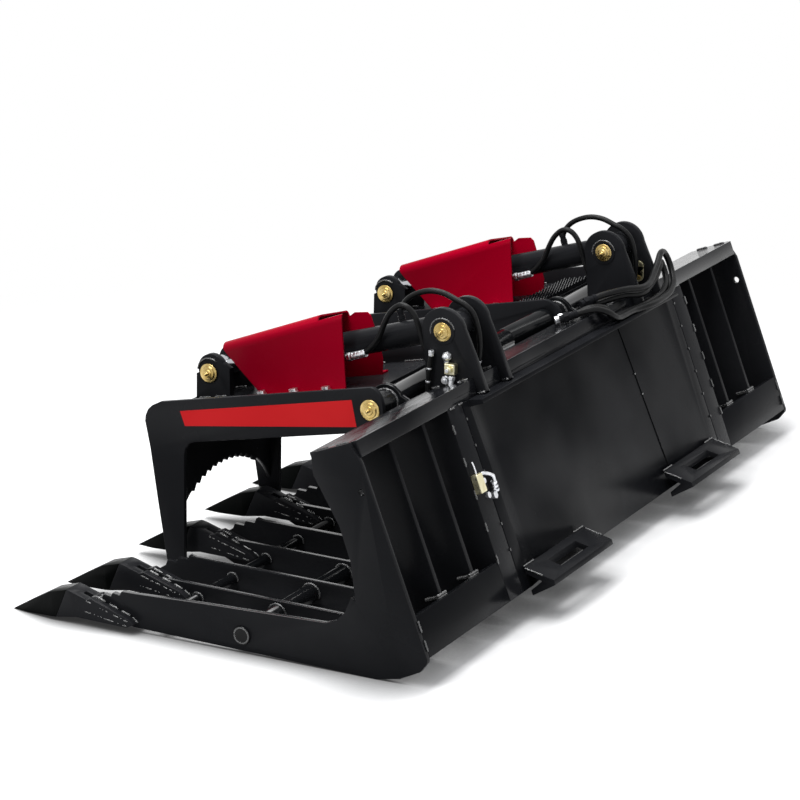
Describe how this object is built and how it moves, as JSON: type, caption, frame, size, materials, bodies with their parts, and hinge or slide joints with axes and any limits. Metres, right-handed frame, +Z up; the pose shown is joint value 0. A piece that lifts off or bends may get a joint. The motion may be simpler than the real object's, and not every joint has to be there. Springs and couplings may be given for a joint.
{
  "type": "skeleton grapple",
  "caption": "Wide skeleton grapple for a skid-steer loader: a raked back and spaced toothed tines, with two hydraulic arms that close on the load.",
  "frame": {"origin": "bottom centre of the bounding box of the grapple as it stands on its heel and its end teeth", "axes": "+X to the operator's right along the width, +Y forward toward the teeth, +Z up"},
  "size_m": [2.021, 1.0919, 0.6668],
  "materials": {
    "black_paint": "gloss black powder coat",
    "tooth_paint": "satin black paint on cast teeth",
    "red_paint": "gloss red powder coat",
    "bright_zinc": "bright zinc plate",
    "yellow_zinc": "yellow zinc plate",
    "black_rubber": "hydraulic hose cover",
    "hard_chrome": "hard chrome on a ground rod"
  },
  "bodies": {
    "frame": {"end_plate_left": "black_paint", "end_plate_right": "black_paint", "tine_1": "black_paint", "tine_2": "black_paint", "tine_3": "black_paint", "tine_4": "black_paint", "tine_5": "black_paint", "tine_6": "black_paint", "tine_7": "black_paint", "tine_8": "black_paint", "tine_9": "black_paint", "tine_10": "black_paint", "tine_11": "black_paint", "tine_12": "black_paint", "tine_13": "black_paint", "tooth_adaptors": "black_paint", "teeth": "tooth_paint", "cross_tube": "black_paint", "front_rod": "black_paint", "lower_plates": "black_paint", "top_beam": "black_paint", "loader_plate": "black_paint", "side_strip_left": "black_paint", "side_strip_right": "black_paint", "slot_bracket_left": "black_paint", "slot_bracket_right": "black_paint", "base_ears_left": "black_paint", "base_ears_right": "black_paint", "pivot_tube_left": "black_paint", "pivot_tube_right": "black_paint", "base_pin_left": "yellow_zinc", "base_pin_right": "yellow_zinc", "lead_hoses": "black_rubber"},
    "arm_left": {"arm_outer_left": "black_paint", "arm_inner_left": "black_paint", "arm_deck_left": "black_paint", "arm_jaw_left": "black_paint", "rod_ears_left": "black_paint", "rod_guard_left": "red_paint", "guard_bolts_left": "bright_zinc", "pivot_pins_left": "yellow_zinc"},
    "arm_right": {"arm_outer_right": "black_paint", "arm_inner_right": "black_paint", "arm_deck_right": "black_paint", "arm_jaw_right": "black_paint", "rod_ears_right": "black_paint", "rod_guard_right": "red_paint", "guard_bolts_right": "bright_zinc", "pivot_pins_right": "yellow_zinc", "grip_strips": "black_paint"},
    "barrel_left": {"barrel_left": "black_paint", "gland_left": "black_paint", "hoses_left": "black_rubber"},
    "barrel_right": {"barrel_right": "black_paint", "gland_right": "black_paint", "hoses_right": "black_rubber"},
    "rod_left": {"piston_rod_left": "hard_chrome", "rod_pin_left": "yellow_zinc"},
    "rod_right": {"piston_rod_right": "hard_chrome", "rod_pin_right": "yellow_zinc"}
  },
  "joints": [
    {"name": "arm_left_hinge", "type": "hinge", "parent": "frame", "child": "arm_left", "pos_m": [-0.42193, -0.16222, 0.44874], "axis": [1, 0, 0], "range_deg": [0, 50]},
    {"name": "barrel_left_swing", "type": "hinge", "parent": "frame", "child": "barrel_left", "pos_m": [-0.41203, -0.25583, 0.59511], "axis": [1, 0, 0], "range_deg": [0, 43.1]},
    {"name": "rod_left_slide", "type": "slide", "parent": "barrel_left", "child": "rod_left", "axis": [0, 0.9635, -0.2678], "range_m": [-0.128, 0]},
    {"name": "arm_right_hinge", "type": "hinge", "parent": "frame", "child": "arm_right", "pos_m": [0.42193, -0.16222, 0.44874], "axis": [1, 0, 0], "range_deg": [0, 50]},
    {"name": "barrel_right_swing", "type": "hinge", "parent": "frame", "child": "barrel_right", "pos_m": [0.41203, -0.25583, 0.59511], "axis": [1, 0, 0], "range_deg": [0, 43.1]},
    {"name": "rod_right_slide", "type": "slide", "parent": "barrel_right", "child": "rod_right", "axis": [0, 0.9635, -0.2678], "range_m": [-0.128, 0]}
  ],
  "couplings": [
    {"joint": "barrel_left_swing", "follows": "arm_left_hinge", "ratio": 0.852},
    {"joint": "rod_left_slide", "follows": "arm_left_hinge", "m_per_rad": -0.1461},
    {"joint": "barrel_right_swing", "follows": "arm_right_hinge", "ratio": 0.852},
    {"joint": "rod_right_slide", "follows": "arm_right_hinge", "m_per_rad": -0.1461}
  ]
}
